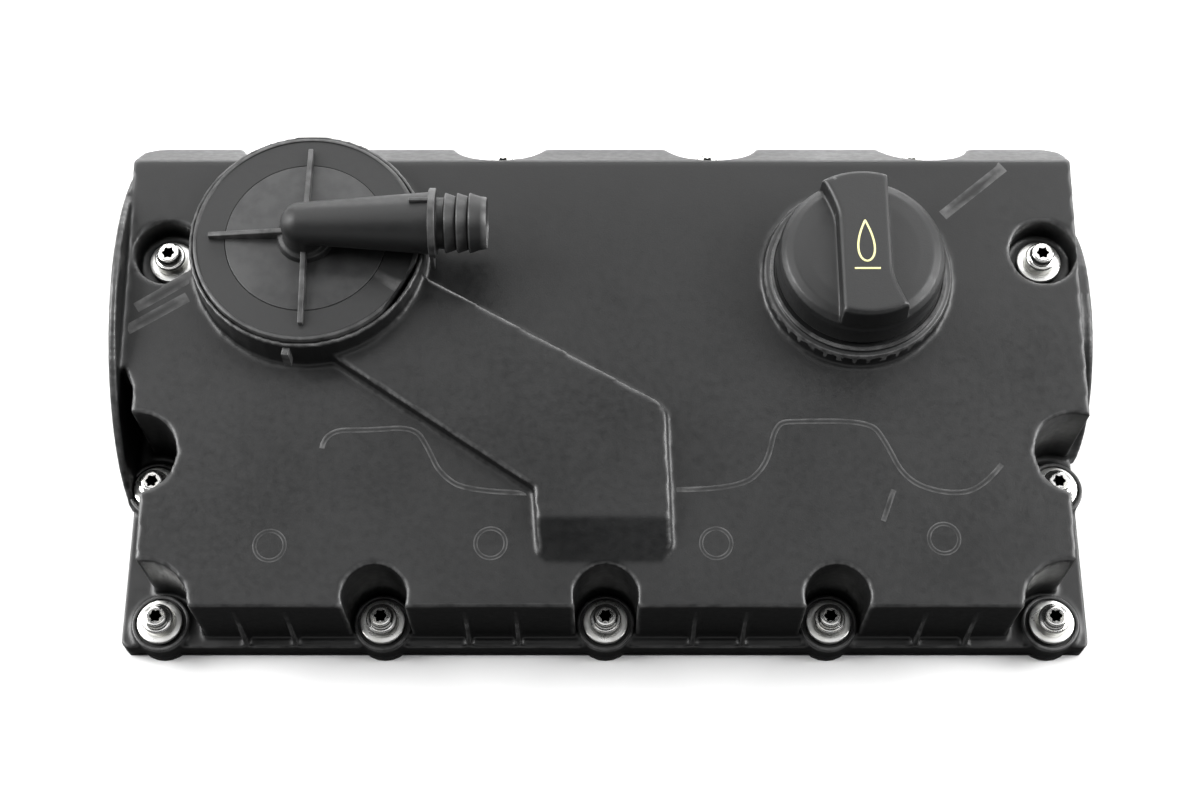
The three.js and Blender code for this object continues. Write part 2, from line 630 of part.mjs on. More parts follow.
seats.forEach((seat, index) => {
  const number = String(index + 1).padStart(2, '0');
  const headUnderside = washerBottom(seat.z) + WASHER.thickness + BOLT.lift;
  const washer = ring(WASHER.inner, WASHER.outer, 0, WASHER.thickness, FASTENER_SIDES);
  addPiece(`cover_bolt_${number}`, boltGeometry(headUnderside - GAP), STEEL, seat.x, seat.y, GAP);
  addPiece(`bolt_washer_${number}`, washer, STEEL, seat.x, seat.y, washerBottom(seat.z));
  addPiece(`bolt_grommet_${number}`, grommetGeometry(seat.z), RUBBER, seat.x, seat.y);
});

cover.position.y = -FOOTPRINT_MIDDLE_Y;
export default cover;
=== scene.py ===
import json
from math import atan2, cos, pi, radians, sin, sqrt

import bmesh
import bpy
from mathutils import Matrix, Vector


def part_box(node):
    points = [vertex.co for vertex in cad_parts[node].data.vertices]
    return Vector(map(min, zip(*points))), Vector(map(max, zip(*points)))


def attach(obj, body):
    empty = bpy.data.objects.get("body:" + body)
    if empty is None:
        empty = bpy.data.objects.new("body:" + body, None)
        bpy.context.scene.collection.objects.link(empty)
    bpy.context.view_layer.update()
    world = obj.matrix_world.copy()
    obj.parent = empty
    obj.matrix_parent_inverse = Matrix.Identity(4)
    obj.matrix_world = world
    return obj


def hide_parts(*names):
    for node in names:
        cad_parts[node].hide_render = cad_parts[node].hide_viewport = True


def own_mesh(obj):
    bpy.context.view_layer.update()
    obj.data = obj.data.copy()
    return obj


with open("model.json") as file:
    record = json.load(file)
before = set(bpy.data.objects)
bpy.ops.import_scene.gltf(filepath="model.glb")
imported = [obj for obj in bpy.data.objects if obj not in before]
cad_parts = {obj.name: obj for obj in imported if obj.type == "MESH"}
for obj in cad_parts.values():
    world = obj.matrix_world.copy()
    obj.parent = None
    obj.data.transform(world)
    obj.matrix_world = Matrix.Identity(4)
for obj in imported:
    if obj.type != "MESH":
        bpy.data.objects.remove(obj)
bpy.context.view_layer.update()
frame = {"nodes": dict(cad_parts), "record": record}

mm = 0.001
scene = bpy.context.scene
print("frame loaded:", len(frame["nodes"]), "nodes")


def nodeCentre(node):
    low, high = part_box(node)
    return Vector(((low[0] + high[0]) / 2, (low[1] + high[1]) / 2, low[2]))


def nodeTop(node):
    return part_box(node)[1][2]


# ---- camera, floor and light ----
studio = {
    "cameraPlace": (-0.0024, -0.3575, 0.8469),
    "tilt": 23.0,
    "lens": 60.0,
    "floorSize": 6.0,
    "horizon": 1.0,
    "zenith": 0.02,
    "horizonHeight": 0.10,
    "zenithHeight": 0.60,
    "nearFloor": 0.04,
    "farFloor": 0.9,
    "nearEdge": -0.10,
    "farEdge": 0.08,
}

cameraData = bpy.data.cameras.new("productCamera")
cameraData.lens = studio["lens"]
cameraData.sensor_width = 36.0
cameraData.clip_end = 20.0
camera = bpy.data.objects.new("productCamera", cameraData)
camera.location = studio["cameraPlace"]
camera.rotation_euler = (radians(studio["tilt"]), 0.0, 0.0)
scene.collection.objects.link(camera)
scene.camera = camera
scene.view_settings.view_transform = "Standard"


def addSoftbox(name, place, aim, size, energy):
    light = bpy.data.lights.new(name, "AREA")
    light.shape = "RECTANGLE"
    light.size, light.size_y = size
    light.energy = energy
    lamp = bpy.data.objects.new(name, light)
    lamp.location = place
    lamp.rotation_euler = (Vector(aim) - Vector(place)).to_track_quat("-Z", "Y").to_euler()
    scene.collection.objects.link(lamp)


addSoftbox("leftSoftbox", (-1.6, 0.2, 1.1), (0, 0, 0), (1.0, 1.4), 52)
addSoftbox("rightSoftbox", (1.6, 0.2, 1.1), (0, 0, 0), (1.0, 1.4), 50)
addSoftbox("overheadSoftbox", (0, 1.05, 1.65), (0, 0, 0), (2.4, 0.9), 18)
addSoftbox("rearSoftbox", (0.1, 1.8, 0.7), (0, 0.1, 0), (2.6, 0.6), 34)
addSoftbox("topStrip", (0, -0.1, 2.0), (0, 0, 0), (2.4, 0.6), 5)


def buildWorld():
    # A pale room that is dark overhead, so that black plastic keeps its depth.
    world = bpy.data.worlds.new("studioRoom")
    world.use_nodes = True
    tree = world.node_tree
    tree.nodes.clear()
    coords = tree.nodes.new("ShaderNodeTexCoord")
    split = tree.nodes.new("ShaderNodeSeparateXYZ")
    fade = tree.nodes.new("ShaderNodeMapRange")
    fade.inputs["From Min"].default_value = studio["horizonHeight"]
    fade.inputs["From Max"].default_value = studio["zenithHeight"]
    fade.inputs["To Min"].default_value = studio["horizon"]
    fade.inputs["To Max"].default_value = studio["zenith"]
    lens = tree.nodes.new("ShaderNodeLightPath")
    backdrop = tree.nodes.new("ShaderNodeMath")
    backdrop.operation = "MAXIMUM"
    background = tree.nodes.new("ShaderNodeBackground")
    output = tree.nodes.new("ShaderNodeOutputWorld")
    tree.links.new(coords.outputs["Generated"], split.inputs["Vector"])
    tree.links.new(split.outputs["Z"], fade.inputs["Value"])
    tree.links.new(fade.outputs["Result"], backdrop.inputs[0])
    tree.links.new(lens.outputs["Is Camera Ray"], backdrop.inputs[1])
    tree.links.new(backdrop.outputs["Value"], background.inputs["Strength"])
    tree.links.new(background.outputs["Background"], output.inputs["Surface"])
    scene.world = world


def buildFloor():
    # White paper. What it throws back at the object is held down in front, as black card does in a studio.
    bm = bmesh.new()
    bmesh.ops.create_grid(bm, x_segments=1, y_segments=1, size=studio["floorSize"] / 2)
    bmesh.ops.translate(bm, verts=bm.verts, vec=(0, 0, -0.0005))
    mesh = bpy.data.meshes.new("floor")
    bm.to_mesh(mesh)
    bm.free()
    floor = bpy.data.objects.new("floor", mesh)
    scene.collection.objects.link(floor)
    paper = bpy.data.materials.new("palePaper")
    paper.use_nodes = True
    tree = paper.node_tree
    tree.nodes.clear()
    coords = tree.nodes.new("ShaderNodeTexCoord")
    split = tree.nodes.new("ShaderNodeSeparateXYZ")
    tree.links.new(coords.outputs["Object"], split.inputs["Vector"])
    fade = tree.nodes.new("ShaderNodeMapRange")
    fade.inputs["From Min"].default_value = studio["nearEdge"]
    fade.inputs["From Max"].default_value = studio["farEdge"]
    fade.inputs["To Min"].default_value = studio["nearFloor"]
    fade.inputs["To Max"].default_value = studio["farFloor"]
    tree.links.new(split.outputs["Y"], fade.inputs["Value"])
    bounce = tree.nodes.new("ShaderNodeBsdfDiffuse")
    tree.links.new(fade.outputs["Result"], bounce.inputs["Color"])
    white = tree.nodes.new("ShaderNodeBsdfDiffuse")
    white.inputs["Color"].default_value = (0.93, 0.93, 0.93, 1)
    lens = tree.nodes.new("ShaderNodeLightPath")
    choose = tree.nodes.new("ShaderNodeMixShader")
    output = tree.nodes.new("ShaderNodeOutputMaterial")
    tree.links.new(lens.outputs["Is Camera Ray"], choose.inputs["Fac"])
    tree.links.new(bounce.outputs["BSDF"], choose.inputs[1])
    tree.links.new(white.outputs["BSDF"], choose.inputs[2])
    tree.links.new(choose.outputs["Shader"], output.inputs["Surface"])
    mesh.materials.append(paper)


buildWorld()
buildFloor()
print("studio ready")


# ---- shader groups ----
def newGroup(name, inputs, outputs):
    group = bpy.data.node_groups.new(name, "ShaderNodeTree")
    for label, kind, value in inputs:
        socket = group.interface.new_socket(label, in_out="INPUT", socket_type=kind)
        socket.default_value = value
    for label, kind in outputs:
        group.interface.new_socket(label, in_out="OUTPUT", socket_type=kind)
    return group, group.nodes.new("NodeGroupInput"), group.nodes.new("NodeGroupOutput")


def mathNode(tree, operation, first, second):
    node = tree.nodes.new("ShaderNodeMath")
    node.operation = operation
    for socket, value in zip(node.inputs, (first, second)):
        if isinstance(value, (int, float)):
            socket.default_value = value
        else:
            tree.links.new(value, socket)
    return node.outputs["Value"]


def noiseNode(tree, vector, scale, detail=3.0):
    noise = tree.nodes.new("ShaderNodeTexNoise")
    noise.inputs["Detail"].default_value = detail
    tree.links.new(vector, noise.inputs["Vector"])
    if isinstance(scale, (int, float)):
        noise.inputs["Scale"].default_value = scale
    else:
        tree.links.new(scale, noise.inputs["Scale"])
    return noise.outputs["Fac"]


def rangeNode(tree, value, low, high, toLow, toHigh):
    node = tree.nodes.new("ShaderNodeMapRange")
    node.inputs["From Min"].default_value = low
    node.inputs["From Max"].default_value = high
    node.inputs["To Min"].default_value = toLow
    node.inputs["To Max"].default_value = toHigh
    tree.links.new(value, node.inputs["Value"])
    return node.outputs["Result"]


def buildMouldGrain():
    # Fine moulded grain, slow clouding from the flow of the plastic, and pale handling specks.
    group, source, target = newGroup(
        "mouldGrain",
        [
            ("Dark", "NodeSocketColor", (0.01, 0.01, 0.01, 1)),
            ("Light", "NodeSocketColor", (0.03, 0.03, 0.03, 1)),
            ("Grain Scale", "NodeSocketFloat", 2200.0),
            ("Grain Height", "NodeSocketFloat", 0.00002),
            ("Roughness", "NodeSocketFloat", 0.5),
        ],
        [("Color", "NodeSocketColor"), ("Roughness", "NodeSocketFloat"), ("Normal", "NodeSocketVector")],
    )
    links = group.links
    vector = group.nodes.new("ShaderNodeTexCoord").outputs["Object"]
    fine = noiseNode(group, vector, source.outputs["Grain Scale"], 2.0)
    cloud = noiseNode(group, vector, 14.0, 4.0)
    scuff = noiseNode(group, vector, 320.0, 6.0)
    tone = mathNode(group, "ADD", mathNode(group, "MULTIPLY", fine, 0.55), mathNode(group, "MULTIPLY", cloud, 0.45))
    mix = group.nodes.new("ShaderNodeMix")
    mix.data_type = "RGBA"
    links.new(rangeNode(group, tone, 0.3, 0.72, 0.0, 1.0), mix.inputs["Factor"])
    links.new(source.outputs["Dark"], mix.inputs["A"])
    links.new(source.outputs["Light"], mix.inputs["B"])
    links.new(mix.outputs["Result"], target.inputs["Color"])
    clouding = rangeNode(group, cloud, 0.3, 0.7, -0.05, 0.05)
    scuffing = rangeNode(group, scuff, 0.35, 0.75, 0.03, -0.07)
    swing = mathNode(group, "ADD", clouding, scuffing)
    links.new(mathNode(group, "ADD", source.outputs["Roughness"], swing), target.inputs["Roughness"])
    bump = group.nodes.new("ShaderNodeBump")
    bump.inputs["Strength"].default_value = 0.8
    links.new(source.outputs["Grain Height"], bump.inputs["Distance"])
    links.new(mathNode(group, "ADD", fine, mathNode(group, "MULTIPLY", scuff, 0.35)), bump.inputs["Height"])
    links.new(bump.outputs["Normal"], target.inputs["Normal"])
    return group


def buildPaintedEdgeHighlight():
    # Painted highlight: sharp convex edges, found by pointiness, are drawn paler and made smoother, broken up by a
    # coarse noise.
    group, source, target = newGroup(
        "paintedEdgeHighlight",
        [
            ("Color", "NodeSocketColor", (0.02, 0.02, 0.02, 1)),
            ("Edge Color", "NodeSocketColor", (0.12, 0.12, 0.12, 1)),
            ("Amount", "NodeSocketFloat", 0.5),
        ],
        [("Color", "NodeSocketColor"), ("Mask", "NodeSocketFloat")],
    )
    links = group.links
    vector = group.nodes.new("ShaderNodeTexCoord").outputs["Object"]
    point = group.nodes.new("ShaderNodeNewGeometry").outputs["Pointiness"]
    edge = rangeNode(group, point, 0.512, 0.55, 0.0, 1.0)
    broken = rangeNode(group, noiseNode(group, vector, 180.0, 5.0), 0.35, 0.62, 0.25, 1.0)
    mask = mathNode(group, "MULTIPLY", mathNode(group, "MULTIPLY", edge, broken), source.outputs["Amount"])
    mix = group.nodes.new("ShaderNodeMix")
    mix.data_type = "RGBA"
    links.new(mask, mix.inputs["Factor"])
    links.new(source.outputs["Color"], mix.inputs["A"])
    links.new(source.outputs["Edge Color"], mix.inputs["B"])
    links.new(mix.outputs["Result"], target.inputs["Color"])
    links.new(mask, target.inputs["Mask"])
    return group


def buildPlatedMetal():
    # Zinc plating: cloudy roughness, fine stamping marks and faint yellow passivation.
    group, source, target = newGroup(
        "platedMetal",
        [
            ("Color", "NodeSocketColor", (0.8, 0.8, 0.8, 1)),
            ("Tint", "NodeSocketColor", (0.7, 0.68, 0.6, 1)),
            ("Roughness", "NodeSocketFloat", 0.25),
            ("Mark Height", "NodeSocketFloat", 0.00001),
        ],
        [("Color", "NodeSocketColor"), ("Roughness", "NodeSocketFloat"), ("Normal", "NodeSocketVector")],
    )
    links = group.links
    vector = group.nodes.new("ShaderNodeTexCoord").outputs["Object"]
    cloud = noiseNode(group, vector, 260.0, 4.0)
    marks = noiseNode(group, vector, 1600.0, 5.0)
    mix = group.nodes.new("ShaderNodeMix")
    mix.data_type = "RGBA"
    links.new(rangeNode(group, cloud, 0.45, 0.75, 0.0, 0.7), mix.inputs["Factor"])
    links.new(source.outputs["Color"], mix.inputs["A"])
    links.new(source.outputs["Tint"], mix.inputs["B"])
    links.new(mix.outputs["Result"], target.inputs["Color"])
    clouding = rangeNode(group, cloud, 0.3, 0.7, -0.05, 0.08)
    stamping = rangeNode(group, marks, 0.4, 0.7, 0.0, 0.06)
    swing = mathNode(group, "ADD", clouding, stamping)
    links.new(mathNode(group, "ADD", source.outputs["Roughness"], swing), target.inputs["Roughness"])
    bump = group.nodes.new("ShaderNodeBump")
    bump.inputs["Strength"].default_value = 0.5
    links.new(source.outputs["Mark Height"], bump.inputs["Distance"])
    links.new(marks, bump.inputs["Height"])
    links.new(bump.outputs["Normal"], target.inputs["Normal"])
    return group


mouldGrain = buildMouldGrain()
paintedEdgeHighlight = buildPaintedEdgeHighlight()
platedMetal = buildPlatedMetal()


# ---- materials ----
def placeGroup(tree, group, values):
    node = tree.nodes.new("ShaderNodeGroup")
    node.node_tree = group
    for label, value in values.items():
        node.inputs[label].default_value = value
    return node


def grey(level, blue=1.06):
    return (level, level * (1 + blue) / 2, level * blue, 1)


def plasticMaterial(name, look):
    material = bpy.data.materials.new(name)
    material.use_nodes = True
    tree = material.node_tree
    shader = tree.nodes["Principled BSDF"]
    grain = placeGroup(tree, mouldGrain, {
        "Dark": grey(look["dark"]),
        "Light": grey(look["light"]),
        "Grain Scale": look["grainScale"],
        "Grain Height": look["grainHeight"],
        "Roughness": look["roughness"],
    })
    # Painted highlight: convex edges take a paler colour from the edge group.
    edgeHighlight = placeGroup(tree, paintedEdgeHighlight, {"Edge Color": grey(look["edge"], 1.0), "Amount": look["edgeHighlight"]})
    tree.links.new(grain.outputs["Color"], edgeHighlight.inputs["Color"])
    tree.links.new(edgeHighlight.outputs["Color"], shader.inputs["Base Color"])
    smoother = mathNode(tree, "MULTIPLY", edgeHighlight.outputs["Mask"], -0.12)
    tree.links.new(mathNode(tree, "ADD", grain.outputs["Roughness"], smoother), shader.inputs["Roughness"])
    tree.links.new(grain.outputs["Normal"], shader.inputs["Normal"])
    shader.inputs["Specular IOR Level"].default_value = look["gloss"]
    return material


def metalMaterial(name, look):
    material = bpy.data.materials.new(name)
    material.use_nodes = True
    tree = material.node_tree
    shader = tree.nodes["Principled BSDF"]
    plate = placeGroup(tree, platedMetal, {
        "Color": look["color"],
        "Tint": look["tint"],
        "Roughness": look["roughness"],
        "Mark Height": look["markHeight"],
    })
    tree.links.new(plate.outputs["Color"], shader.inputs["Base Color"])
    tree.links.new(plate.outputs["Roughness"], shader.inputs["Roughness"])
    tree.links.new(plate.outputs["Normal"], shader.inputs["Normal"])
    shader.inputs["Metallic"].default_value = 1.0
    return material


# In each look, edge is the colour of the painted edge highlight and the amount after it sets its strength.
plasticLooks = {
    "cover_plastic": {"dark": 0.0046, "light": 0.0088, "grainScale": 1500.0, "grainHeight": 0.00004,
                      "roughness": 0.40, "edge": 0.11, "edgeHighlight": 0.85, "gloss": 0.5},
    "lid_plastic": {"dark": 0.0046, "light": 0.0080, "grainScale": 1900.0, "grainHeight": 0.00003,
                    "roughness": 0.50, "edge": 0.09, "edgeHighlight": 0.7, "gloss": 0.5},
    "lidPanel": {"dark": 0.0088, "light": 0.0140, "grainScale": 1900.0, "grainHeight": 0.00003,
                 "roughness": 0.42, "edge": 0.09, "edgeHighlight": 0.5, "gloss": 0.55},
    "cap_plastic": {"dark": 0.0054, "light": 0.0098, "grainScale": 1700.0, "grainHeight": 0.00005,
                    "roughness": 0.46, "edge": 0.09, "edgeHighlight": 0.8, "gloss": 0.5},
    "rubber": {"dark": 0.006, "light": 0.012, "grainScale": 900.0, "grainHeight": 0.00003,
               "roughness": 0.78, "edge": 0.03, "edgeHighlight": 0.3, "gloss": 0.35},
}
metalLooks = {
    "bolt_steel": {"color": (0.80, 0.80, 0.79, 1), "tint": (0.62, 0.60, 0.53, 1), "roughness": 0.17,
                   "markHeight": 0.000006},
    "washer_steel": {"color": (0.90, 0.90, 0.88, 1), "tint": (0.80, 0.79, 0.74, 1), "roughness": 0.30,
                     "markHeight": 0.000003},
    "spring_steel": {"color": (0.50, 0.51, 0.52, 1), "tint": (0.36, 0.35, 0.33, 1), "roughness": 0.32,
                     "markHeight": 0.00001},
}
materials = {name: plasticMaterial(name, look) for name, look in plasticLooks.items()}
materials.update({name: metalMaterial(name, look) for name, look in metalLooks.items()})
materials["printYellow"] = plasticMaterial("printYellow", {
    "dark": 0.5, "light": 0.62, "grainScale": 3000.0, "grainHeight": 0.00001,
    "roughness": 0.5, "edge": 0.6, "edgeHighlight": 0.1, "gloss": 0.4})
for node in materials["printYellow"].node_tree.nodes:
    if node.type == "GROUP" and node.node_tree == mouldGrain:
        node.inputs["Dark"].default_value = (0.70, 0.66, 0.26, 1)
        node.inputs["Light"].default_value = (0.82, 0.79, 0.38, 1)

for row in frame["record"]["subparts"]:
    mesh = frame["nodes"][row["node"]].data
    mesh.materials.clear()
    mesh.materials.append(materials[row["material_slot"]])
print("materials ready")


def shortenSpring():
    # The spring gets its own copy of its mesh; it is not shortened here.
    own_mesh(bpy.data.objects["breather_spring"])


shortenSpring()


# ---- modelling helpers ----
def turnInto(bm, profile, steps, place=(0, 0, 0), along=(0, 0, 1), closed=False):
    # Turns a profile of (radius, height) in millimetres about its own axis, then puts it in place.
    made = bmesh.new()
    verts = [made.verts.new((radius * mm, 0, height * mm)) for radius, height in profile]
    edges = [made.edges.new(pair) for pair in zip(verts, verts[1:])]
    if closed:
        edges.append(made.edges.new((verts[-1], verts[0])))
    bmesh.ops.spin(made, geom=verts + edges, cent=(0, 0, 0), axis=(0, 0, 1), dvec=(0, 0, 0),
                   angle=2 * pi, steps=steps, use_merge=True, use_duplicate=False)
    bmesh.ops.remove_doubles(made, verts=made.verts, dist=1e-6)
    bmesh.ops.recalc_face_normals(made, faces=made.faces)
    turn = Vector((0, 0, 1)).rotation_difference(Vector(along)).to_matrix().to_4x4()
    bmesh.ops.transform(made, matrix=Matrix.Translation(place) @ turn, verts=made.verts)
    addInto(bm, made)


def addInto(bm, made):
    mesh = bpy.data.meshes.new("part")
    made.to_mesh(mesh)
    made.free()
    bm.from_mesh(mesh)
    bpy.data.meshes.remove(mesh)


def prismInto(bm, outline, low, high, place=(0, 0, 0), turn=0.0, draft=1.0, edge=0.0):
    # A plan outline in millimetres drawn up from low to high, with a draft and a rounded top edge.
    made = bmesh.new()
    face = made.faces.new([made.verts.new((x * mm, y * mm, low * mm)) for x, y in outline])
    top = bmesh.ops.extrude_face_region(made, geom=[face])
    topVerts = [item for item in top["geom"] if isinstance(item, bmesh.types.BMVert)]
    topFace = next(item for item in top["geom"] if isinstance(item, bmesh.types.BMFace))
    bmesh.ops.translate(made, verts=topVerts, vec=(0, 0, (high - low) * mm))
    bmesh.ops.scale(made, verts=topVerts, vec=(draft, draft, 1))
    bmesh.ops.recalc_face_normals(made, faces=made.faces)
    if edge:
        bmesh.ops.bevel(made, geom=list(topFace.edges), offset=edge * mm, segments=4, profile=0.5,
                        affect="EDGES", material=-1)
    bmesh.ops.rotate(made, verts=made.verts, cent=(0, 0, 0), matrix=Matrix.Rotation(turn, 3, "Z"))
    bmesh.ops.translate(made, verts=made.verts, vec=place)
    addInto(bm, made)


def newPiece(name, bm):
    mesh = bpy.data.meshes.new(name)
    bm.to_mesh(mesh)
    bm.free()
    piece = bpy.data.objects.new(name, mesh)
    scene.collection.objects.link(piece)
    return piece


def finishPiece(name, bm, materialName, body, replaced=(), smooth=True):
    return dressPiece(newPiece(name, bm), materialName, body, replaced, smooth)


def dressPiece(piece, materialName, body, replaced=(), smooth=True):
    mesh = piece.data
    mesh.materials.clear()
    mesh.materials.append(materials[materialName])
    if smooth:
        mesh.shade_smooth()
        mesh.set_sharp_from_angle(angle=radians(38))
    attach(piece, body)
    if replaced:
        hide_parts(*replaced)
    return piece


def fuse(name, bm, voxel, smoothing, triangles):
    # Overlapping closed forms become one moulded skin with soft inner and outer corners.
    piece = newPiece(name, bm)
    remesh = piece.modifiers.new("fuse", "REMESH")
    remesh.mode = "VOXEL"
    remesh.voxel_size = voxel * mm * 1.0
    soften = piece.modifiers.new("soften", "SMOOTH")
    soften.factor = 0.5
    soften.iterations = smoothing
    bakeModifiers(piece)
    count = 2 * len(piece.data.polygons)
    thin = piece.modifiers.new("thin", "DECIMATE")
    thin.ratio = min(1.0, triangles / count)
    bakeModifiers(piece)
    piece.data.shade_smooth()
    print(name, "fused from", count, "to", len(piece.data.polygons), "triangles")
    return piece


def bakeModifiers(piece):
    view = bpy.context.evaluated_depsgraph_get()
    baked = bpy.data.meshes.new_from_object(piece.evaluated_get(view))
    old = piece.data
    piece.modifiers.clear()
    piece.data = baked
    bpy.data.meshes.remove(old)


def drawnLines(lines, thickness, flatten, smooth=False):
    # Lines of points in millimetres become flat closed beads at height 0, ready to be laid on a surface.
    curve = bpy.data.curves.new("lines", "CURVE")
    curve.dimensions = "3D"
    curve.bevel_depth = thickness / 2 * mm
    curve.bevel_resolution = 2
    curve.resolution_u = 6
    curve.use_fill_caps = True
    for points, loop in lines:
        spline = curve.splines.new("NURBS" if smooth else "POLY")
        spline.points.add(len(points) - 1)
        for point, (x, y) in zip(spline.points, points):
            point.co = (x * mm, y * mm, 0, 1)
        spline.use_cyclic_u = loop
        if smooth:
            spline.order_u = 3
            spline.use_endpoint_u = not loop
    drawn = bpy.data.objects.new("lines", curve)
    scene.collection.objects.link(drawn)
    view = bpy.context.evaluated_depsgraph_get()
    mesh = bpy.data.meshes.new_from_object(drawn.evaluated_get(view))
    bpy.data.objects.remove(drawn)
    bm = bmesh.new()
    bm.from_mesh(mesh)
    bpy.data.meshes.remove(mesh)
    bmesh.ops.remove_doubles(bm, verts=bm.verts, dist=1e-7)
    bmesh.ops.recalc_face_normals(bm, faces=bm.faces)
    bmesh.ops.scale(bm, verts=bm.verts, vec=(1, 1, flatten))
    return bm


def ringPoints(centre, radius, count):
    return [(centre[0] + radius * cos(2 * pi * step / count), centre[1] + radius * sin(2 * pi * step / count))
            for step in range(count)]


# ---- cover shell ----
bossDepth = 7.6  # the front wall stands back from the bolt bosses by this
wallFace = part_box("cover_shell")[0][1] / mm + bossDepth
roof = {"frontZ": 54.5, "rise": 0.0925}
shellLook = {"voxel": 1.05, "smoothing": 5, "triangles": 185000}


def roofHeight(y):
    return roof["frontZ"] + roof["rise"] * (y - wallFace)


def buildShell():
    bm = bmesh.new()
    bm.from_mesh(frame["nodes"]["cover_shell"].data)
    bmesh.ops.remove_doubles(bm, verts=bm.verts, dist=1e-6)
    piece = fuse("shellMoulding", bm, shellLook["voxel"], shellLook["smoothing"], shellLook["triangles"])
    dressPiece(piece, "cover_plastic", "root", ["cover_shell"], smooth=False)


buildShell()
print("shell built")

frontRib = {"offset": 10.6, "pitch": 96.0, "thick": 1.7, "reach": 4.2, "low": 11.2, "high": 47.0}


def buildFrontRibs():
    bm = bmesh.new()
    footY = wallFace - frontRib["reach"]
    wallY = wallFace + 0.8
    for step in (-1.5, -0.5, 0.5, 1.5):
        for side in (-1, 1):
            x = step * frontRib["pitch"] + side * frontRib["offset"]
            made = bmesh.new()
            corners = [
                (footY, frontRib["low"]),
                (wallY + 1, frontRib["low"]),
                (wallY + 1, frontRib["high"]),
                (wallY - 1, frontRib["high"]),
                (footY + 0.6, frontRib["low"] + 8),
            ]
            half = frontRib["thick"] / 2
            face = made.faces.new([made.verts.new(((x - half) * mm, y * mm, z * mm)) for y, z in corners])
            wall = bmesh.ops.extrude_face_region(made, geom=[face])
            moved = [item for item in wall["geom"] if isinstance(item, bmesh.types.BMVert)]
            bmesh.ops.translate(made, verts=moved, vec=(2 * half * mm, 0, 0))
            bmesh.ops.recalc_face_normals(made, faces=made.faces)
            bmesh.ops.bevel(made, geom=made.edges[:], offset=0.45 * mm, segments=3, profile=0.5,
                            affect="EDGES", material=-1)
            addInto(bm, made)
    finishPiece("frontRibs", bm, "cover_plastic", "root")


buildFrontRibs()

# Faint moulded marks on the roof, as places (x, distance back from the front wall).
roofMarks = {
    "waves": [
        [(-120, 68), (-119, 76), (-100, 76), (-81, 77.5), (-75, 68), (-70, 57), (-58, 49), (-31, 48.5)],
        [(29.5, 50), (55, 50), (68, 60), (72, 79), (80, 80), (112, 80), (118, 72), (126, 54), (143, 48), (158, 50),
         (167, 61)],
        [(121, 50), (116, 36.5)],
    ],
    "rounds": [(-48, 27), (46, 27), (141, 29), (-140, 26)],
    "waveWidth": 2.8, "waveHeight": 0.10, "roundRadius": 6.4, "roundWidth": 2.2, "roundHeight": 0.09,
    "folds": [[(-203, 131), (-179, 146)], [(-206, 121), (-181, 136)], [(176, 197), (148, 174)]],
    "foldWidth": 6.0, "foldHeight": 0.08,
}


def buildRoofMarks():
    waves = [(line, False) for line in roofMarks["waves"]]
    rounds = [(ringPoints(place, roofMarks["roundRadius"], 16), True) for place in roofMarks["rounds"]]
    folds = [(line, False) for line in roofMarks["folds"]]
    groups = [
        ("roofWaves", waves, roofMarks["waveWidth"], roofMarks["waveHeight"]),
        ("roofRounds", rounds, roofMarks["roundWidth"], roofMarks["roundHeight"]),
        ("roofFolds", folds, roofMarks["foldWidth"], roofMarks["foldHeight"]),
    ]
    for name, lines, width, height in groups:
        bm = drawnLines(lines, width, 2 * height / width, smooth=True)
        for vert in bm.verts:
            vert.co.z += (roofHeight(vert.co.y / mm + wallFace) - height / 2) * mm  # half sunk, so its edge is soft
        bmesh.ops.translate(bm, verts=bm.verts, vec=(0, wallFace * mm, 0))
        finishPiece(name, bm, "cover_plastic", "root")


buildRoofMarks()

clip = {"turn": -97.0, "radius": 51.6, "width": 3.2, "depth": 2.6, "low": 70.0, "high": 81.0}
collar = {"outer": 40.4, "step": 38.2, "inner": 30.0, "foot": 66.0, "top": 73.6, "ringTop": 75.4}


def buildFillerCollar():
    centre = nodeCentre("filler_seal_ring")
    bm = bmesh.new()
    profile = [
        (collar["inner"], collar["foot"]),
        (collar["outer"], collar["foot"]),
        (collar["outer"], collar["top"] - 0.8),
        (collar["outer"] - 0.3, collar["top"] - 0.2),
        (collar["outer"] - 0.9, collar["top"]),
        (collar["step"] + 0.4, collar["top"]),
        (collar["step"], collar["top"] + 0.3),
        (collar["step"], collar["ringTop"] - 0.4),
        (collar["step"] - 0.4, collar["ringTop"]),
        (collar["step"] - 1.6, collar["ringTop"]),
        (collar["step"] - 2.0, collar["ringTop"] - 0.5),
        (collar["inner"], collar["ringTop"] - 0.5),
    ]
    turnInto(bm, profile, 96, (centre.x, centre.y, 0), closed=True)
    finishPiece("fillerCollar", bm, "cover_plastic", "root")


def buildCupClip():
    # The snap tab on the outside of the breather cup.
    centre = nodeCentre("breather_diaphragm")
    bm = bmesh.new()
    half = clip["width"] / 2
    outline = [(clip["radius"] - 1.5, -half), (clip["radius"] + clip["depth"], -half),
               (clip["radius"] + clip["depth"], half), (clip["radius"] - 1.5, half)]
    prismInto(bm, outline, clip["low"], clip["high"], (centre.x, centre.y, 0), radians(clip["turn"]), edge=0.5)
    finishPiece("cupClip", bm, "cover_plastic", "root")


buildFillerCollar()
buildCupClip()
print("ribs, marks and collar built")


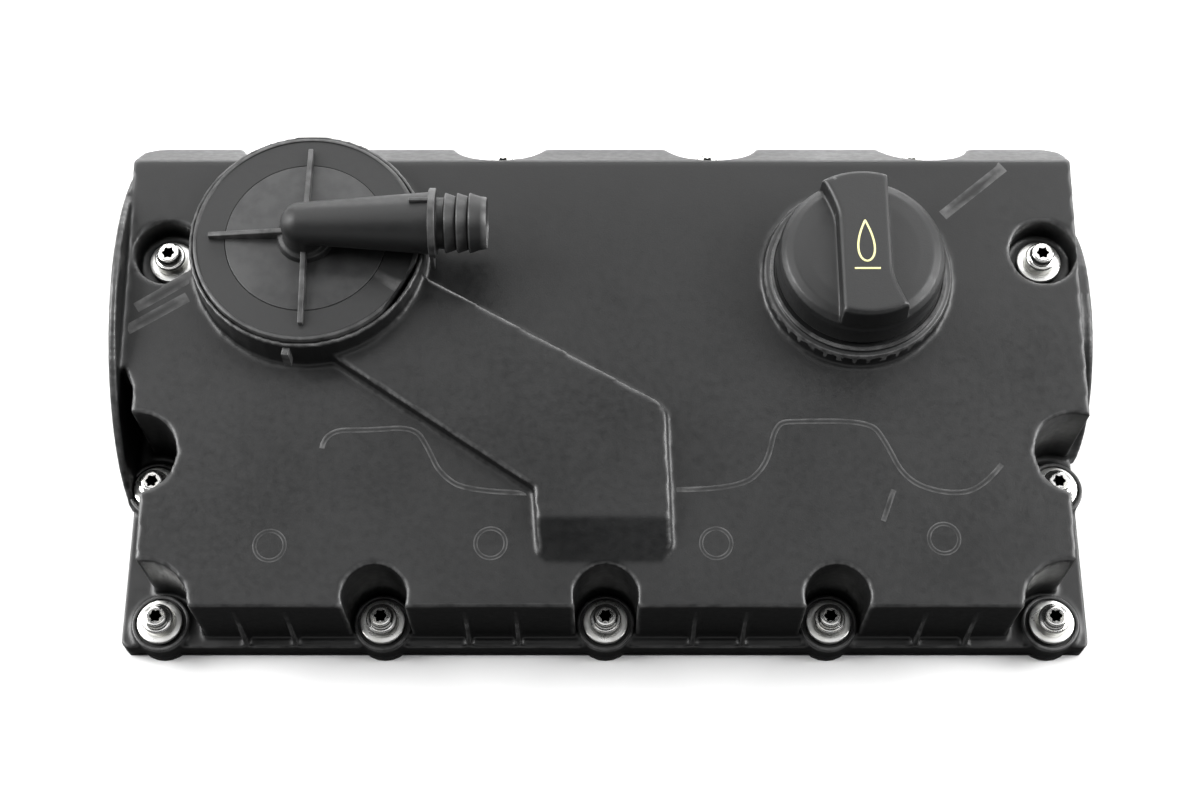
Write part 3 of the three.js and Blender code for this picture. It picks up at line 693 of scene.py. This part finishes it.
# ---- breather lid ----
cupCentre = nodeCentre("breather_diaphragm")
lid = {"x": cupCentre.x / mm, "radius": 48.7, "bottom": 79.3, "top": 85.0, "panelRadius": 34.8,
       "skirtOuter": 46.5, "skirtInner": 43.5, "skirtLow": 74.2, "flatTurn": -30.0, "flatReach": 46.7,
       "ribStart": 8.0, "ribReach": 41.8, "ribWidth": 2.2, "ribLow": 87.4, "ribHigh": 91.2,
       "hubRadius": 12.0, "hubTop": 90.0}
pipe = {"y": cupCentre.y / mm - 1.5, "z": 100.0, "dome": 8.9, "collar": 14.2, "collarX": -73.0, "barb": 12.7,
        "end": -50.0, "bore": 10.2, "barbs": 3, "firstBarb": 6.2, "barbStep": 5.1}
pipeLook = {"voxel": 0.55, "smoothing": 5, "triangles": 60000}
gusset = {"start": -82, "end": -73.5, "half": 0.7, "above": 6, "shift": 4}
fin = {"x": -74.6, "half": 0.8, "front": -7.0, "back": 7.0, "low": 71.0, "high": 92.0}


def buildLid():
    bm = bmesh.new()
    radius = lid["radius"]
    top = lid["top"]
    panel = lid["panelRadius"]
    profile = [
        (0, lid["bottom"]),
        (lid["skirtInner"], lid["bottom"]),
        (lid["skirtInner"], lid["skirtLow"]),
        (lid["skirtOuter"], lid["skirtLow"]),
        (lid["skirtOuter"], lid["bottom"]),
        (radius, lid["bottom"]),
        (radius, top - 0.9),
        (radius - 0.25, top - 0.3),
        (radius - 0.8, top),
        (radius - 1.5, top),
        (radius - 1.9, top - 0.4),
        (panel + 0.3, top - 0.4),
        (panel, top - 0.7),
        (0, top - 0.7),
    ]
    turnInto(bm, profile, 128)
    turn = radians(lid["flatTurn"])
    outward = Vector((cos(turn), sin(turn), 0))
    cut = bmesh.ops.bisect_plane(bm, geom=bm.verts[:] + bm.edges[:] + bm.faces[:],
                                 plane_co=outward * lid["flatReach"] * mm, plane_no=outward, clear_outer=True)
    rim = [item for item in cut["geom_cut"] if isinstance(item, bmesh.types.BMEdge)]
    bmesh.ops.holes_fill(bm, edges=rim, sides=0)
    bmesh.ops.recalc_face_normals(bm, faces=bm.faces)
    bmesh.ops.translate(bm, verts=bm.verts, vec=(cupCentre.x, cupCentre.y, 0))
    finishPiece("lidDisc", bm, "lid_plastic", "root", ["breather_lid"])


def buildLidPanel():
    # The paler disc in the middle of the lid, a hair proud of it.
    bm = bmesh.new()
    panel = lid["panelRadius"] - 0.1
    top = lid["top"] - 0.15
    profile = [(0, top - 1.2), (panel, top - 1.2), (panel, top - 0.3), (panel - 0.12, top - 0.08), (panel - 0.4, top),
               (0, top)]
    turnInto(bm, profile, 128, (cupCentre.x, cupCentre.y, 0))
    finishPiece("lidPanel", bm, "lidPanel", "root")


def buildLidRibs():
    # Gussets that are tallest at the hub.
    bm = bmesh.new()
    half = lid["ribWidth"] / 2
    for angle in (90, 180, 270):
        made = bmesh.new()
        foot = lid["top"] - 1.5
        side = [(lid["ribStart"], foot), (lid["ribReach"], foot), (lid["ribReach"], lid["ribLow"]),
                (lid["ribStart"], lid["ribHigh"])]
        face = made.faces.new([made.verts.new((x * mm, -half * mm, z * mm)) for x, z in side])
        wall = bmesh.ops.extrude_face_region(made, geom=[face])
        moved = [item for item in wall["geom"] if isinstance(item, bmesh.types.BMVert)]
        bmesh.ops.translate(made, verts=moved, vec=(0, 2 * half * mm, 0))
        bmesh.ops.recalc_face_normals(made, faces=made.faces)
        bmesh.ops.bevel(made, geom=made.edges[:], offset=0.35 * mm, segments=3, profile=0.5,
                        affect="EDGES", material=-1)
        bmesh.ops.rotate(made, verts=made.verts, cent=(0, 0, 0), matrix=Matrix.Rotation(radians(angle), 3, "Z"))
        bmesh.ops.translate(made, verts=made.verts, vec=(cupCentre.x, cupCentre.y, 0))
        addInto(bm, made)
    finishPiece("lidRibs", bm, "lid_plastic", "root")


def buildCollarFin():
    # The thin support between the roof and the pipe's collar.
    bm = bmesh.new()
    outline = [(fin["x"] - fin["half"], fin["front"]), (fin["x"] + fin["half"], fin["front"]),
               (fin["x"] + fin["half"], fin["back"]), (fin["x"] - fin["half"], fin["back"])]
    prismInto(bm, outline, fin["low"], fin["high"], (0, pipe["y"] * mm, 0), edge=0.2)
    finishPiece("collarFin", bm, "lid_plastic", "root")


def buildPipe():
    # The hub, dome, swelling tube and web are one moulding. The collar and barbs are turned crisply on it.
    bm = bmesh.new()
    centre = (cupCentre.x, cupCentre.y, 0)
    hub = [(0, lid["top"] - 2), (lid["hubRadius"] + 1.2, lid["top"] - 2), (lid["hubRadius"] + 0.4, lid["top"] + 0.8),
           (lid["hubRadius"], lid["top"] + 3), (lid["hubRadius"] - 1.5, lid["hubTop"] - 1),
           (lid["hubRadius"] - 3, lid["hubTop"]), (0, lid["hubTop"])]
    turnInto(bm, hub, 64, centre)
    neck = [(0, lid["top"]), (pipe["dome"], lid["top"]), (pipe["dome"], pipe["z"]), (0, pipe["z"])]
    turnInto(bm, neck, 48, (centre[0], pipe["y"] * mm, 0))
    start = lid["x"] - pipe["dome"]
    length = pipe["collarX"] + 1.5 - start
    tube = [(0, 0)]
    for step in range(1, 9):
        angle = (pi / 2) * step / 8
        tube.append((pipe["dome"] * sin(angle), pipe["dome"] * (1 - cos(angle))))
    tube.append((pipe["collar"] - 1.0, length - 1.5))
    tube.append((pipe["collar"] - 1.0, length))
    tube.append((0, length))
    turnInto(bm, tube, 64, (start * mm, pipe["y"] * mm, pipe["z"] * mm), (1, 0, 0))
    web = [(lid["x"] + 4, -1.1), (pipe["collarX"] - 4, -1.1), (pipe["collarX"] - 4, 1.1),
           (lid["x"] + 4, 1.1)]
    prismInto(bm, web, lid["top"] - 1, pipe["z"], (0, pipe["y"] * mm, 0))
    piece = fuse("outletElbow", bm, pipeLook["voxel"], pipeLook["smoothing"], pipeLook["triangles"])
    dressPiece(piece, "lid_plastic", "root", smooth=False)


def buildHoseTail():
    bm = bmesh.new()
    start = pipe["collarX"] - 1.2
    base = pipe["barb"] - 1.9
    profile = [(pipe["bore"], 2.5), (pipe["collar"] - 2.2, 0), (pipe["collar"] + 0.3, 0), (pipe["collar"] + 0.6, 0.3),
               (pipe["collar"] + 0.6, 2.6), (pipe["collar"] + 0.2, 3.0), (base + 0.4, 3.2), (base, 3.6)]
    for barb in range(pipe["barbs"]):
        foot = pipe["firstBarb"] + barb * pipe["barbStep"]
        profile += [(base, foot), (pipe["barb"] - 0.15, foot + 0.5), (pipe["barb"], foot + 0.8),
                    (pipe["barb"] - 0.15, foot + 1.2), (base + 0.5, foot + 4.9)]
    end = pipe["end"] - start
    profile += [(base + 0.2, end - 0.5), (base - 0.3, end), (pipe["bore"] + 0.3, end), (pipe["bore"], end - 0.4)]
    turnInto(bm, profile, 96, (start * mm, pipe["y"] * mm, pipe["z"] * mm), (1, 0, 0), closed=True)
    back = [(0, 2.4), (pipe["bore"] + 0.6, 2.4), (pipe["bore"] + 0.6, 3.6), (0, 3.6)]
    turnInto(bm, back, 48, (start * mm, pipe["y"] * mm, pipe["z"] * mm), (1, 0, 0))
    finishPiece("hoseTail", bm, "lid_plastic", "root")


def buildGusset():
    bm = bmesh.new()
    outline = [(gusset["start"], -gusset["half"]), (gusset["end"], -gusset["half"]),
               (gusset["end"], gusset["half"]), (gusset["start"], gusset["half"])]
    high = pipe["z"] + pipe["collar"] - 0.2
    place = (0, (pipe["y"] + gusset["shift"]) * mm, 0)
    prismInto(bm, outline, pipe["z"] + gusset["above"], high, place, edge=0.3)
    finishPiece("collarGusset", bm, "lid_plastic", "root")


buildLid()
buildLidPanel()
buildLidRibs()
buildCollarFin()
buildPipe()
buildHoseTail()
buildGusset()
print("breather built")


# ---- filler cap ----
cap = {"radius": 35.6, "skirt": 77.2, "top": 95.0, "gripTop": 102.6, "gripHalf": 11.2, "flare": 17.5,
       "bend": 12.0, "underside": 90.0, "wall": 3.0}
capLook = {"voxel": 0.5, "smoothing": 4, "triangles": 110000}


def gripOutline(half, flare, radius):
    # Half the outline, then the same points turned half round.
    reach = sqrt(radius * radius - half * half)
    flareReach = sqrt(radius * radius - flare * flare)
    points = []
    startAngle = atan2(-flareReach, flare)
    endAngle = atan2(-reach, -half)
    steps = 14
    for step in range(steps + 1):
        angle = endAngle + (startAngle - endAngle) * step / steps
        points.append((radius * cos(angle), radius * sin(angle)))
    for step in range(1, 9):
        part = step / 8
        y = -flareReach + (flareReach - cap["bend"]) * part
        points.append((half + (flare - half) * (1 - part) ** 1.5, y))
    return points + [(-x, -y) for x, y in points]


def buildCap():
    centre = nodeCentre("filler_cap")
    place = (centre.x, centre.y, 0)
    bm = bmesh.new()
    radius = cap["radius"]
    top = cap["top"]
    inner = radius - cap["wall"]
    profile = [(0, cap["underside"]), (inner, cap["underside"]), (inner, cap["skirt"]), (radius, cap["skirt"]),
               (radius, top - 7), (radius - 0.9, top - 4), (radius - 2.8, top - 2), (radius - 6, top - 0.8),
               (radius - 12, top - 0.2), (0, top)]
    turnInto(bm, profile, 96, place)
    outline = gripOutline(cap["gripHalf"], cap["flare"], radius - 0.6)
    prismInto(bm, outline, cap["underside"] + 1, cap["gripTop"], place, draft=0.965, edge=2.0)
    piece = fuse("capMoulding", bm, capLook["voxel"], capLook["smoothing"], capLook["triangles"])
    dressPiece(piece, "cap_plastic", "filler_cap", ["filler_cap"], smooth=False)


mark = {"thickness": 0.85, "height": 0.12, "length": 34.0, "width": 9.0}


def buildOilMark():
    # A generic drop over a level line, printed along the grip.
    centre = nodeCentre("filler_cap")
    drop = []
    for step in range(32):
        angle = 2 * pi * step / 32
        drop.append((mark["width"] * 0.5 * sin(angle) * sin(angle / 2), mark["length"] * 0.28 * cos(angle)))
    level = [(-mark["width"] * 0.6, -mark["length"] * 0.38), (mark["width"] * 0.6, -mark["length"] * 0.38)]
    bm = drawnLines([(drop, True), (level, False)], mark["thickness"], 2 * mark["height"] / mark["thickness"])
    bmesh.ops.translate(bm, verts=bm.verts, vec=(centre.x, centre.y, cap["gripTop"] * mm))
    finishPiece("oilMark", bm, "printYellow", "filler_cap")


buildCap()
buildOilMark()
print("filler cap built")


# ---- bolts, washers and bushes ----
bolt = {"shank": 2.95, "tip": 2.2, "flange": 6.6, "head": 4.75, "flangeHeight": 1.5, "headHeight": 5.2,
        "socketIn": 2.15, "socketOut": 2.85, "socketDepth": 2.9, "threadLength": 13.0, "pitch": 1.0, "steps": 48}


def boltInto(bm, place, underside, tip):
    made = bmesh.new()
    shank = bolt["shank"]
    profile = [(0, tip), (bolt["tip"], tip), (shank - 0.35, tip + 0.8)]
    height = tip + 1.0
    while height < tip + bolt["threadLength"]:
        profile += [(shank, height + bolt["pitch"] * 0.3), (shank - 0.5, height + bolt["pitch"] * 0.8)]
        height += bolt["pitch"]
    flange = bolt["flange"]
    edge = underside + bolt["flangeHeight"]
    top = underside + bolt["headHeight"]
    profile += [(shank - 0.1, height + 0.4), (shank - 0.1, underside), (flange - 0.3, underside),
                (flange, underside + 0.3), (flange, edge - 0.5), (flange - 0.15, edge - 0.2),
                (flange - 0.5, edge), (flange - 0.9, edge),
                (bolt["head"] + 0.25, edge + 0.25), (bolt["head"], edge + 0.6), (bolt["head"], top - 0.5),
                (bolt["head"] - 0.15, top - 0.2), (bolt["head"] - 0.5, top), (bolt["socketOut"] + 0.45, top)]
    verts = [made.verts.new((radius * mm, 0, z * mm)) for radius, z in profile]
    edges = [made.edges.new(pair) for pair in zip(verts, verts[1:])]
    bmesh.ops.spin(made, geom=verts + edges, cent=(0, 0, 0), axis=(0, 0, 1), dvec=(0, 0, 0), angle=2 * pi,
                   steps=bolt["steps"], use_merge=True, use_duplicate=False)
    bmesh.ops.remove_doubles(made, verts=made.verts, dist=1e-6)
    rim = [item for item in made.edges if item.is_boundary]
    lobed = bmesh.ops.create_circle(made, cap_ends=False, radius=mm, segments=bolt["steps"])["verts"]
    middle = (bolt["socketIn"] + bolt["socketOut"]) / 2
    swing = (bolt["socketOut"] - bolt["socketIn"]) / 2
    for vert in lobed:
        angle = atan2(vert.co.y, vert.co.x)
        radius = (middle + swing * cos(6 * angle)) * mm
        vert.co = Vector((radius * cos(angle), radius * sin(angle), top * mm))
    loop = list({item for vert in lobed for item in vert.link_edges})
    bmesh.ops.bridge_loops(made, edges=rim + loop)
    wall = bmesh.ops.extrude_edge_only(made, edges=loop)["geom"]
    low = [item for item in wall if isinstance(item, bmesh.types.BMVert)]
    bmesh.ops.translate(made, verts=low, vec=(0, 0, -bolt["socketDepth"] * mm))
    bmesh.ops.holes_fill(made, edges=[item for item in made.edges if item.is_boundary], sides=0)
    bmesh.ops.recalc_face_normals(made, faces=made.faces)
    bmesh.ops.translate(made, verts=made.verts, vec=place)
    addInto(bm, made)


washer = {"inner": 3.5, "outer": 9.65, "grooveOut": 7.2, "grooveIn": 6.9}
bush = {"inner": 3.6, "outer": 6.9, "head": 9.0, "lipHeight": 1.2}
lip = {"inner": 10.9, "outer": 12.3, "rise": 1.7, "foot": 3.0, "highest": 40, "aboveBush": 9}


def buildFasteners():
    count = sum(1 for name in frame["nodes"] if name.startswith("cover_bolt_"))
    for index in range(1, count + 1):
        number = f"{index:02d}"
        boltNode, washerNode, bushNode = f"cover_bolt_{number}", f"bolt_washer_{number}", f"bolt_grommet_{number}"
        centre = nodeCentre(boltNode)
        place = (centre.x, centre.y, 0)
        tip = centre.z / mm
        underside = nodeTop(boltNode) / mm - bolt["headHeight"]
        bm = bmesh.new()
        boltInto(bm, place, underside, tip)
        finishPiece(f"bolt{number}", bm, "bolt_steel", "root", [boltNode])

        low, high = (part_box(washerNode)[0][2] / mm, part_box(washerNode)[1][2] / mm)
        bm = bmesh.new()
        profile = [(washer["inner"], low), (washer["outer"] - 0.2, low), (washer["outer"], low + 0.2),
                   (washer["outer"], high - 0.45), (washer["outer"] - 0.15, high - 0.15),
                   (washer["outer"] - 0.5, high), (washer["grooveOut"], high),
                   (washer["grooveOut"] - 0.1, high - 0.25),
                   (washer["grooveIn"], high - 0.25), (washer["grooveIn"] - 0.1, high), (washer["inner"] + 0.3, high),
                   (washer["inner"], high - 0.3)]
        turnInto(bm, profile, 64, place, closed=True)
        finishPiece(f"washer{number}", bm, "washer_steel", "root", [washerNode])

        low, high = (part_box(bushNode)[0][2] / mm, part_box(bushNode)[1][2] / mm)
        neck = high - bush["lipHeight"]
        bm = bmesh.new()
        profile = [(bush["inner"], low), (bush["outer"] - 0.4, low), (bush["outer"], low + 0.4),
                   (bush["outer"], neck), (bush["head"] - 0.3, neck), (bush["head"], neck + 0.3),
                   (bush["head"], high - 0.3),
                   (bush["head"] - 0.3, high), (bush["inner"], high)]
        turnInto(bm, profile, 48, place, closed=True)
        finishPiece(f"bush{number}", bm, "rubber", "root", [bushNode])

        if underside < lip["highest"] and centre.y < 0:  # the low front row only
            seat = low + lip["aboveBush"]
            bm = bmesh.new()
            top = seat + lip["rise"]
            profile = [(lip["inner"], seat - lip["foot"]), (lip["outer"], seat - lip["foot"]),
                       (lip["outer"] + 0.1, top - 0.6), (lip["outer"] - 0.2, top - 0.1), (lip["outer"] - 0.5, top),
                       (lip["inner"] + 0.4, top), (lip["inner"] + 0.1, top - 0.15), (lip["inner"], top - 0.6)]
            turnInto(bm, profile, 64, place, closed=True)
            finishPiece(f"bossLip{number}", bm, "cover_plastic", "root")


buildFasteners()
print("fasteners built")
